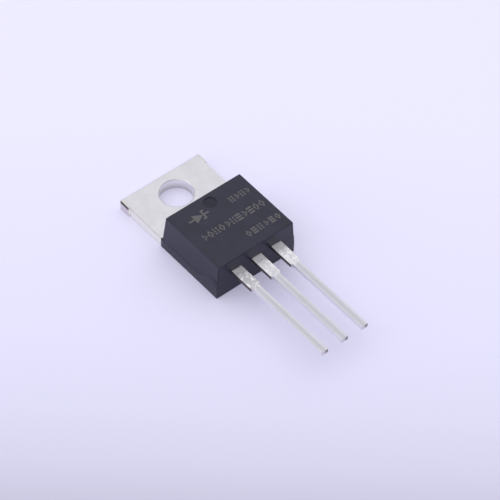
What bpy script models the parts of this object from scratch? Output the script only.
"""Three-lead plastic power package that holds two Schottky diodes with one shared cathode.

The package lies on its metal back. X runs across the leads, the leads point towards -Y and the
screw tab towards +Y, the back face is the plane z = 0, and the origin is under the middle of
the whole part. All sizes are in metres.
"""

import math

import bmesh
import bpy
from mathutils import Matrix

# Overall layout
BODY_WIDTH = 0.01004
BODY_LENGTH = 0.00886
BODY_HEIGHT = 0.0045
TAB_REACH = 0.00643  # metal tab beyond the body's back wall
LEAD_REACH = 0.01333  # leads beyond the body's front wall
LEAD_PITCH = 0.00254
CLEARANCE = 0.00002  # between two pieces that the moulding compound presses together

# Moulded body: an upper mould half with draft, and a lower one that follows the frame
SIDE_DRAFT = math.radians(4.2)
FRONT_DRAFT = math.radians(0.8)
BACK_DRAFT = math.radians(4.0)
LOWER_DRAFT = math.radians(0.2)
PARTING_STEP = 0.00001  # the upper mould half stands this far inside the lower one
BACK_LEDGE = 0.00022  # and this far at the tab, where the lower half grips its sides
UPPER_ROOT = 0.00026  # the upper half's shape starts this far below the tab's face, inside the lower one
BODY_ROUND = 0.0001
PARTING_ROUND = 0.0001
DIMPLE_RADIUS = 0.00075
DIMPLE_DEPTH = 0.00012
DIMPLE_SLOPE = 0.00006  # its wall leans in this far
DIMPLE_FROM_BACK = 0.00161

# Screw tab and die pad, one thick strip of copper
TAB_THICKNESS = 0.0013
TAB_INSET = 0.0001  # each side of the tab stands this far inside the body's side
EAR_PROUD = 0.00017  # stub of the tie bar to the next tab, each side
EAR_LENGTH = 0.00135
HOLE_RADIUS = 0.0018
HOLE_FROM_END = 0.00275
HOLE_ROLL = 0.00014  # rim drawn in by the punch
TAB_ROUND = 0.00007
NECK_INSET = 0.00015  # the strip narrows this far inside the body's back wall
PAD_INSET = 0.00068  # and each side of the pad this far inside the tab's
PAD_FROM_FRONT = 0.0030
LOCK_STEP = 0.00035  # coined step that lets the compound grip the pad's lower edges
LOCK_HEIGHT = 0.0005
NOTCH_RADIUS = 0.0005
NOTCH_FROM_BACK = 0.0012
GROOVE_DEPTH = 0.00018
GROOVE_FROM_BACK = 0.0007
GROOVE_FROM_PAD_EDGE = 0.00045

# Leads, all cut from the thin edge of the same strip
LEAD_THICKNESS = 0.0005
LEAD_UNDERSIDE = 0.00245  # height of the leads' lower faces
SHOULDER_WIDTH = 0.00124
SHOULDER_LENGTH = 0.0029
SHOULDER_TAPER = 0.00022
NARROW_WIDTH = 0.0008
LEAD_ROUND = 0.00005
STRIP_DROP = 0.00005  # the centre strip leaves the pad this far below its face
STRIP_ROOT_WIDTH = 0.0019
STRIP_ROOT_LENGTH = 0.0004
BEND_ANGLE = math.radians(60)
BEND_RADIUS = 0.0005
BEND_FROM_PAD = 0.00015
POST_WIDTH = 0.0021
POST_LENGTH = 0.0012
POST_FROM_FRONT = 0.00235
POST_TAPER = 0.0004

# Diode chips, their solder and their aluminium wires
CHIP_SIZE = 0.0024
CHIP_THICKNESS = 0.00028
CHIP_SPACING = 0.0041
CHIP_FROM_PAD_EDGE = 0.0009
SOLDER_THICKNESS = 0.00006
SOLDER_FILLET = 0.00012
WIRE_RADIUS = 0.00019
WIRE_SPACING = 0.0008
WIRE_FOOT = 0.0006
WIRE_LOOP = 0.00095

# Fineness of the round shapes
HOLE_STEPS = 64
DIMPLE_STEPS = 32
ARC_STEPS = 4
NOTCH_STEPS = 8
LOOP_STEPS = 14

# Sizes and places worked out from the others
TAB_WIDTH = BODY_WIDTH - 2 * TAB_INSET
PAD_WIDTH = TAB_WIDTH - 2 * PAD_INSET
FRONT = LEAD_REACH - (LEAD_REACH + BODY_LENGTH + TAB_REACH) / 2
BACK = FRONT + BODY_LENGTH
TAB_END = BACK + TAB_REACH
TIP = FRONT - LEAD_REACH
PAD_FRONT = FRONT + PAD_FROM_FRONT
LEAD_MIDDLE = LEAD_UNDERSIDE + LEAD_THICKNESS / 2
LEAD_TOP = LEAD_UNDERSIDE + LEAD_THICKNESS
STRIP_MIDDLE = TAB_THICKNESS - STRIP_DROP - LEAD_THICKNESS / 2
BEND_START = PAD_FRONT - BEND_FROM_PAD
SHARP_CORNER = math.radians(55)
SMOOTH_TURN = math.radians(30)
PAST_FACE = 0.0005  # a cutter runs this far past the face that it opens
PAST_MIDDLE = 0.002  # a half outline runs this far past the plane where it is mirrored
WELD = 1e-7
FLAT = math.radians(0.5)
DRAWING_SCALE = 1000.0  # outlines are filled at this size, because a curve's fill is coarse below 0.03 mm

# Local X, Y and Z of a side profile lie along the part's Y, Z and X
SIDE_VIEW = Matrix(((0, 0, 1, 0), (1, 0, 0, 0), (0, 1, 0, 0), (0, 0, 0, 1)))


def clear_scene():
    for thing in list(bpy.data.objects):
        bpy.data.objects.remove(thing, do_unlink=True)


def new_collection(name):
    collection = bpy.data.collections.new(name)
    bpy.context.scene.collection.children.link(collection)
    return collection


def new_material(name, colour, roughness, metallic):
    material = bpy.data.materials.new(name)
    material.use_nodes = True
    shader = material.node_tree.nodes["Principled BSDF"]
    shader.inputs["Base Color"].default_value = (*colour, 1.0)
    shader.inputs["Roughness"].default_value = roughness
    shader.inputs["Metallic"].default_value = metallic
    return material


def add_mesh(name, bm, collection):
    mesh = bpy.data.meshes.new(name)
    bm.to_mesh(mesh)
    bm.free()
    thing = bpy.data.objects.new(name, mesh)
    collection.objects.link(thing)
    return thing


def as_tool(thing):
    """Mark a shape that only cuts or joins another one."""
    thing.hide_render = True
    thing.display_type = "WIRE"
    return thing


def join_or_cut(thing, other, operation):
    step = thing.modifiers.new(operation.lower() + " " + other.name, "BOOLEAN")
    step.operation = operation
    step.solver = "EXACT"
    step.object = as_tool(other)


def round_edges(thing, radius, segments):
    bevel = thing.modifiers.new("rounded edges", "BEVEL")
    bevel.limit_method = "ANGLE"
    bevel.angle_limit = SHARP_CORNER
    bevel.width = radius
    bevel.segments = segments


def block(name, near, far, collection):
    """A cube stretched between two level rectangles, each (left, right, front, back, height)."""
    bm = bmesh.new()
    bmesh.ops.create_cube(bm, size=1.0)
    for vert in bm.verts:
        left, right, front, back, height = far if vert.co.z > 0 else near
        vert.co = (right if vert.co.x > 0 else left, back if vert.co.y > 0 else front, height)
    return add_mesh(name, bm, collection)


def curve_as_mesh(guide, collection):
    """Turn a curve object into a closed mesh in place, and remove the curve."""
    bpy.context.view_layer.update()
    shaped = guide.evaluated_get(bpy.context.evaluated_depsgraph_get())
    mesh = bpy.data.meshes.new_from_object(shaped)
    bm = bmesh.new()
    bm.from_mesh(mesh)
    bm.transform(guide.matrix_world)
    bmesh.ops.remove_doubles(bm, verts=bm.verts, dist=WELD)
    bmesh.ops.dissolve_limit(bm, angle_limit=FLAT, verts=bm.verts, edges=bm.edges)
    bmesh.ops.recalc_face_normals(bm, faces=bm.faces)
    bpy.data.meshes.remove(mesh)
    name = guide.name
    bpy.data.objects.remove(guide, do_unlink=True)
    thing = add_mesh(name, bm, collection)
    thing.data.shade_smooth()
    thing.data.set_sharp_from_angle(angle=SMOOTH_TURN)
    return thing


def prism(name, outline, low, high, collection, turn=Matrix()):
    """A flat outline drawn as a 2D curve and extruded from low to high."""
    curve = bpy.data.curves.new(name, "CURVE")
    curve.dimensions = "2D"
    curve.fill_mode = "BOTH"
    curve.extrude = DRAWING_SCALE * (high - low) / 2
    spline = curve.splines.new("POLY")
    spline.points.add(len(outline) - 1)
    for point, (x, y) in zip(spline.points, outline):
        point.co = (DRAWING_SCALE * x, DRAWING_SCALE * y, 0.0, 1.0)
    spline.use_cyclic_u = True
    guide = bpy.data.objects.new(name, curve)
    collection.objects.link(guide)
    middle = Matrix.Translation((0.0, 0.0, (low + high) / 2))
    guide.matrix_world = turn @ middle @ Matrix.Scale(1 / DRAWING_SCALE, 4)
    return curve_as_mesh(guide, collection)


def turned(name, profile, steps, place, collection):
    """A profile of (radius, height) points, from the top down its outer side, turned about Z."""
    bm = bmesh.new()
    points = [bm.verts.new((radius, 0.0, height)) for radius, height in profile]
    for first, second in zip(points, points[1:]):
        bm.edges.new((first, second))
    thing = add_mesh(name, bm, collection)
    thing.location = place
    screw = thing.modifiers.new("turned", "SCREW")
    screw.steps = steps
    screw.render_steps = steps
    screw.use_merge_vertices = True
    screw.merge_threshold = WELD
    screw.use_smooth_shade = True
    return thing


def arc(centre, radius, start, end, steps):
    """Points along an arc, its angles in radians from the first axis."""
    turns = [start + (end - start) * step / steps for step in range(steps + 1)]
    return [(centre[0] + radius * math.cos(t), centre[1] + radius * math.sin(t)) for t in turns]


def ribbon(name, middle, stations, grow, collection):
    """A strip of lead metal: a flat ribbon drawn through (y, z, width) stations, made thick."""
    bm = bmesh.new()
    first_y, first_z, first_width = stations[0]
    ends = [bm.verts.new((middle + side * (first_width / 2 + grow), first_y, first_z)) for side in (1, -1)]
    edge = bm.edges.new(ends)
    for y, z, width in stations[1:]:
        grown = bmesh.ops.extrude_edge_only(bm, edges=[edge])["geom"]
        edge = next(item for item in grown if isinstance(item, bmesh.types.BMEdge))
        for vert in edge.verts:
            side = 1 if vert.co.x > middle else -1
            vert.co = (middle + side * (width / 2 + grow), y, z)
    thing = add_mesh(name, bm, collection)
    wall = thing.modifiers.new("strip thickness", "SOLIDIFY")
    wall.thickness = LEAD_THICKNESS + 2 * grow
    wall.offset = 0.0
    wall.use_even_offset = True
    return thing


def outer_stations(grow):
    """The stretch that all three leads share, from the body's front wall out to the tip."""
    shoulder_end = FRONT - SHOULDER_LENGTH
    return [
        (FRONT, LEAD_MIDDLE, SHOULDER_WIDTH),
        (shoulder_end, LEAD_MIDDLE, SHOULDER_WIDTH),
        (shoulder_end - SHOULDER_TAPER, LEAD_MIDDLE, NARROW_WIDTH),
        (TIP - grow, LEAD_MIDDLE, NARROW_WIDTH),
    ]


def anode_lead(name, side, grow, collection):
    """An outer lead, with the wide post inside the body where its wires land."""
    inner = FRONT + POST_FROM_FRONT
    neck = inner - POST_LENGTH
    stations = [
        (inner + grow, LEAD_MIDDLE, POST_WIDTH),
        (neck, LEAD_MIDDLE, POST_WIDTH),
        (neck - POST_TAPER, LEAD_MIDDLE, SHOULDER_WIDTH),
    ]
    return ribbon(name, side * LEAD_PITCH, stations + outer_stations(grow), grow, collection)


def bend_points():
    """The (y, z) points of the centre strip's double bend, from the pad up to the lead plane."""
    rise = LEAD_MIDDLE - STRIP_MIDDLE
    straight = rise - 2 * BEND_RADIUS * (1 - math.cos(BEND_ANGLE))
    run = 2 * BEND_RADIUS * math.sin(BEND_ANGLE) + straight / math.tan(BEND_ANGLE)
    down = -math.pi / 2
    lower = arc((BEND_START, STRIP_MIDDLE + BEND_RADIUS), BEND_RADIUS, down, down - BEND_ANGLE, ARC_STEPS)
    up = math.pi / 2
    upper_centre = (BEND_START - run, LEAD_MIDDLE - BEND_RADIUS)
    upper = arc(upper_centre, BEND_RADIUS, up - BEND_ANGLE, up, ARC_STEPS)
    return lower + upper


def centre_strip(name, grow, collection):
    """The middle lead with its double bend, rooted in the front edge of the die pad."""
    stations = [(PAD_FRONT + STRIP_ROOT_LENGTH, STRIP_MIDDLE, STRIP_ROOT_WIDTH)]
    bend = bend_points()
    for step, (y, z) in enumerate(bend):
        share = step / (len(bend) - 1)
        width = STRIP_ROOT_WIDTH + (SHOULDER_WIDTH - STRIP_ROOT_WIDTH) * share
        stations.append((y, z, width))
    return ribbon(name, 0.0, stations + outer_stations(grow), grow, collection)


def half_strip_outline(grow):
    """Plan of the strip's right half: ear, tab, neck, and die pad with the notch in its side."""
    ear = TAB_WIDTH / 2 + EAR_PROUD + grow
    tab = TAB_WIDTH / 2 + grow
    pad = PAD_WIDTH / 2 + grow
    ear_end = TAB_END - EAR_LENGTH - grow
    neck = BACK - NECK_INSET - grow
    notch_radius = NOTCH_RADIUS - grow
    notch_centre = (PAD_WIDTH / 2 + grow, BACK - NOTCH_FROM_BACK - NOTCH_RADIUS)
    notch = arc(notch_centre, notch_radius, math.pi / 2, 3 * math.pi / 2, NOTCH_STEPS)
    outline = [(-PAST_MIDDLE, TAB_END + grow), (ear, TAB_END + grow), (ear, ear_end), (tab, ear_end)]
    outline += [(tab, neck), (pad, neck)]
    outline += notch
    outline += [(pad, PAD_FRONT - grow), (-PAST_MIDDLE, PAD_FRONT - grow)]
    return outline


def cut_locks(thing, grow, cutters):
    """Coined steps along the lower sides and front of the pad, which the compound grips."""
    side = PAD_WIDTH / 2 - LOCK_STEP + grow
    outside = PAD_WIDTH / 2 + PAST_FACE
    top = LOCK_HEIGHT - grow
    back = BACK - NECK_INSET - LOCK_STEP - grow
    front = PAD_FRONT - PAST_FACE
    sill = PAD_FRONT + LOCK_STEP - grow
    edges = {
        "left": (-outside, -side, front, back),
        "right": (side, outside, front, back),
        "front": (-outside, outside, front, sill),
    }
    for place, edge in edges.items():
        rail = block(f"{thing.name}_lock_{place}", (*edge, -PAST_FACE), (*edge, top), cutters)
        join_or_cut(thing, rail, "DIFFERENCE")


def cut_grooves(thing, grow, cutters):
    """V grooves across the pad's face, which keep damp from creeping in to the chips."""
    bottom = TAB_THICKNESS - GROOVE_DEPTH + grow * math.sqrt(2)
    top = TAB_THICKNESS + PAST_FACE
    reach = PAD_WIDTH / 2 + PAST_FACE
    places = {"back": BACK - GROOVE_FROM_BACK, "front": PAD_FRONT + GROOVE_FROM_PAD_EDGE}
    for place, y in places.items():
        half = top - bottom
        outline = [(y, bottom), (y + half, top), (y - half, top)]
        groove = prism(f"{thing.name}_groove_{place}", outline, -reach, reach, cutters, SIDE_VIEW)
        join_or_cut(thing, groove, "DIFFERENCE")


def cut_screw_hole(thing, cutters):
    """The punched screw hole, with the rim that the punch drew in."""
    roll_centre = (HOLE_RADIUS + HOLE_ROLL, TAB_THICKNESS - HOLE_ROLL)
    rim = arc(roll_centre, HOLE_ROLL, math.pi / 2, math.pi, ARC_STEPS)
    wide = HOLE_RADIUS + HOLE_ROLL
    above = TAB_THICKNESS + PAST_FACE
    profile = [(0.0, above), (wide, above)] + rim + [(HOLE_RADIUS, -PAST_FACE), (0.0, -PAST_FACE)]
    place = (0.0, TAB_END - HOLE_FROM_END, 0.0)
    punch = turned("screw_hole_punch", profile, HOLE_STEPS, place, cutters)
    join_or_cut(thing, punch, "DIFFERENCE")


def mirror_half(thing):
    """Cut the shape at the middle plane and mirror its right half."""
    mirror = thing.modifiers.new("left half", "MIRROR")
    mirror.use_bisect_axis = (True, False, False)
    mirror.use_mirror_merge = True
    mirror.merge_threshold = WELD


def thick_strip(name, grow, collection, cutters):
    """Tab and die pad, with the locks and grooves in the part that the body covers."""
    strip = prism(name, half_strip_outline(grow), -grow, TAB_THICKNESS + grow, collection)
    mirror_half(strip)
    if not grow:
        round_edges(strip, TAB_ROUND, 2)
    cut_locks(strip, grow, cutters)
    cut_grooves(strip, grow, cutters)
    return strip


def heatsink_frame(collection, cutters):
    """Tab, die pad and middle lead: one piece of tinned copper, and the shared cathode."""
    frame = thick_strip("heatsink_frame", 0.0, collection, cutters)
    cut_screw_hole(frame, cutters)
    lead = centre_strip("centre_lead_strip", 0.0, cutters)
    round_edges(lead, LEAD_ROUND, 2)
    join_or_cut(frame, lead, "UNION")
    return frame


def chip_square(side, half, height):
    """The level square under or over one chip, as a block's end."""
    middle_x = side * CHIP_SPACING / 2
    middle_y = PAD_FRONT + CHIP_FROM_PAD_EDGE + CHIP_SIZE / 2
    return (middle_x - half, middle_x + half, middle_y - half, middle_y + half, height)


def solder_layer(name, side, grow, collection):
    bottom = TAB_THICKNESS + CLEARANCE
    foot = chip_square(side, CHIP_SIZE / 2 + SOLDER_FILLET + grow, bottom - grow)
    head = chip_square(side, CHIP_SIZE / 2 + grow, bottom + SOLDER_THICKNESS + grow)
    return block(name, foot, head, collection)


def chip_underside():
    return TAB_THICKNESS + SOLDER_THICKNESS + 2 * CLEARANCE


def diode_chip(name, side, grow, collection):
    half = CHIP_SIZE / 2 + grow
    foot = chip_square(side, half, chip_underside() - grow)
    head = chip_square(side, half, chip_underside() + CHIP_THICKNESS + grow)
    return block(name, foot, head, collection)


def wire_points(side, row, grow):
    """A foot along the chip, a loop up over the gap, and a foot along the lead's post."""
    chip_y = PAD_FRONT + CHIP_FROM_PAD_EDGE + CHIP_SIZE / 2
    post_y = FRONT + POST_FROM_FRONT - POST_LENGTH / 2
    start = chip_y - WIRE_FOOT / 2
    end = post_y + WIRE_FOOT / 2
    low = chip_underside() + CHIP_THICKNESS + CLEARANCE + WIRE_RADIUS
    high = LEAD_TOP + CLEARANCE + WIRE_RADIUS
    chip_x = side * (CHIP_SPACING + row * WIRE_SPACING) / 2
    post_x = side * (LEAD_PITCH + row * WIRE_SPACING / 2)
    points = [(chip_x, start + WIRE_FOOT + grow, low)]
    for step in range(LOOP_STEPS + 1):
        share = step / LOOP_STEPS
        climb = share * share * (3 - 2 * share)
        hump = WIRE_LOOP * math.sin(math.pi * share) ** 2
        x = chip_x + (post_x - chip_x) * share
        points.append((x, start + (end - start) * share, low + (high - low) * climb + hump))
    points.append((post_x, end - WIRE_FOOT - grow, high))
    return points


def bond_wire(name, side, row, grow, collection):
    """An aluminium wire: a curve with a round section and closed ends."""
    curve = bpy.data.curves.new(name, "CURVE")
    curve.dimensions = "3D"
    curve.bevel_depth = WIRE_RADIUS + grow
    curve.bevel_resolution = 2
    curve.use_fill_caps = True
    points = wire_points(side, row, grow)
    spline = curve.splines.new("POLY")
    spline.points.add(len(points) - 1)
    for point, place in zip(spline.points, points):
        point.co = (*place, 1.0)
    wire = bpy.data.objects.new(name, curve)
    collection.objects.link(wire)
    return wire


def lean_sides(half):
    """Lean the lower half's sides out as far up as the tab's face, and in above it."""
    bm = bmesh.new()
    bm.from_mesh(half.data)
    everything = bm.verts[:] + bm.edges[:] + bm.faces[:]
    tab_face = (0.0, 0.0, TAB_THICKNESS)
    bmesh.ops.bisect_plane(bm, geom=everything, dist=WELD, plane_co=tab_face, plane_no=(0.0, 0.0, 1.0))
    for vert in bm.verts:
        out = min(vert.co.z, TAB_THICKNESS) * math.tan(LOWER_DRAFT)
        back_in = max(vert.co.z - TAB_THICKNESS, 0.0) * math.tan(SIDE_DRAFT)
        vert.co.x += math.copysign(1.0, vert.co.x) * (out - back_in)
    bm.to_mesh(half.data)
    bm.free()


def lower_mould_half(cutters):
    """The lower half's shape, whose top follows the frame from the lead plane down to the tab."""
    step_foot = BEND_START
    step_head = bend_points()[-1][0]
    outline = [
        (FRONT, 0.0),
        (BACK, 0.0),
        (BACK, TAB_THICKNESS),
        (step_foot, TAB_THICKNESS),
        (step_head, LEAD_UNDERSIDE),
        (FRONT, LEAD_UNDERSIDE),
    ]
    half = prism("lower_mould_half", outline, -BODY_WIDTH / 2, BODY_WIDTH / 2, cutters, SIDE_VIEW)
    lean_sides(half)
    round_edges(half, PARTING_ROUND, 2)
    return half


def upper_mould_half(collection):
    """The upper half's shape, which narrows upwards on all four sides so that it leaves its mould."""
    base = TAB_THICKNESS - UPPER_ROOT
    climb = BODY_HEIGHT - base
    half = BODY_WIDTH / 2 - PARTING_STEP
    front = FRONT + PARTING_STEP
    back = BACK - BACK_LEDGE
    foot = (-half, half, front, back, base)
    top_half = half - climb * math.tan(SIDE_DRAFT)
    top_front = front + climb * math.tan(FRONT_DRAFT)
    top_back = back - climb * math.tan(BACK_DRAFT)
    head = (-top_half, top_half, top_front, top_back, BODY_HEIGHT)
    body = block("moulded_body", foot, head, collection)
    round_edges(body, BODY_ROUND, 3)
    return body


def cut_dimple(body, cutters):
    """The shallow round mark of the ejector pin in the body's face."""
    floor = BODY_HEIGHT - DIMPLE_DEPTH
    above = BODY_HEIGHT + PAST_FACE
    rim = DIMPLE_RADIUS
    profile = [(0.0, above), (rim, above), (rim, BODY_HEIGHT), (rim - DIMPLE_SLOPE, floor), (0.0, floor)]
    pin = turned("ejector_pin", profile, DIMPLE_STEPS, (0.0, BACK - DIMPLE_FROM_BACK, 0.0), cutters)
    join_or_cut(body, pin, "DIFFERENCE")


def cut_pockets(body, cutters):
    """Room for all that the compound was moulded round, each piece with its clearance."""
    grow = CLEARANCE
    pockets = [thick_strip("strip_pocket", grow, cutters, cutters), centre_strip("lead_pocket", grow, cutters)]
    for side, word in ((-1, "left"), (1, "right")):
        pockets.append(anode_lead(f"lead_pocket_{word}", side, grow, cutters))
        pockets.append(solder_layer(f"solder_pocket_{word}", side, grow, cutters))
        pockets.append(diode_chip(f"chip_pocket_{word}", side, grow, cutters))
        for row, edge in ((-1, "inner"), (1, "outer")):
            wire = bond_wire(f"wire_pocket_{word}_{edge}", side, row, grow, cutters)
            pockets.append(curve_as_mesh(wire, cutters))
    for pocket in pockets:
        join_or_cut(body, pocket, "DIFFERENCE")


def moulded_body(collection, cutters):
    body = upper_mould_half(collection)
    join_or_cut(body, lower_mould_half(cutters), "UNION")
    cut_dimple(body, cutters)
    cut_pockets(body, cutters)
    return body


def dress(thing, material):
    thing.data.materials.clear()
    thing.data.materials.append(material)


def main():
    clear_scene()
    part = new_collection("schottky_diode")
    cutters = new_collection("cutters")
    tin = new_material("tinned_copper", (0.72, 0.71, 0.74), 0.38, 1.0)
    compound = new_material("moulding_compound", (0.035, 0.034, 0.042), 0.5, 0.0)
    silicon = new_material("silicon", (0.20, 0.22, 0.27), 0.2, 0.6)
    solder = new_material("solder", (0.50, 0.50, 0.52), 0.45, 1.0)
    aluminium = new_material("aluminium_wire", (0.80, 0.80, 0.82), 0.3, 1.0)
    dress(heatsink_frame(part, cutters), tin)
    for side, word in ((-1, "left"), (1, "right")):
        lead = anode_lead(f"anode_lead_{word}", side, 0.0, part)
        round_edges(lead, LEAD_ROUND, 2)
        dress(lead, tin)
        dress(solder_layer(f"solder_layer_{word}", side, 0.0, part), solder)
        dress(diode_chip(f"diode_chip_{word}", side, 0.0, part), silicon)
        for row, edge in ((-1, "inner"), (1, "outer")):
            dress(bond_wire(f"bond_wire_{word}_{edge}", side, row, 0.0, part), aluminium)
    dress(moulded_body(part, cutters), compound)


main()
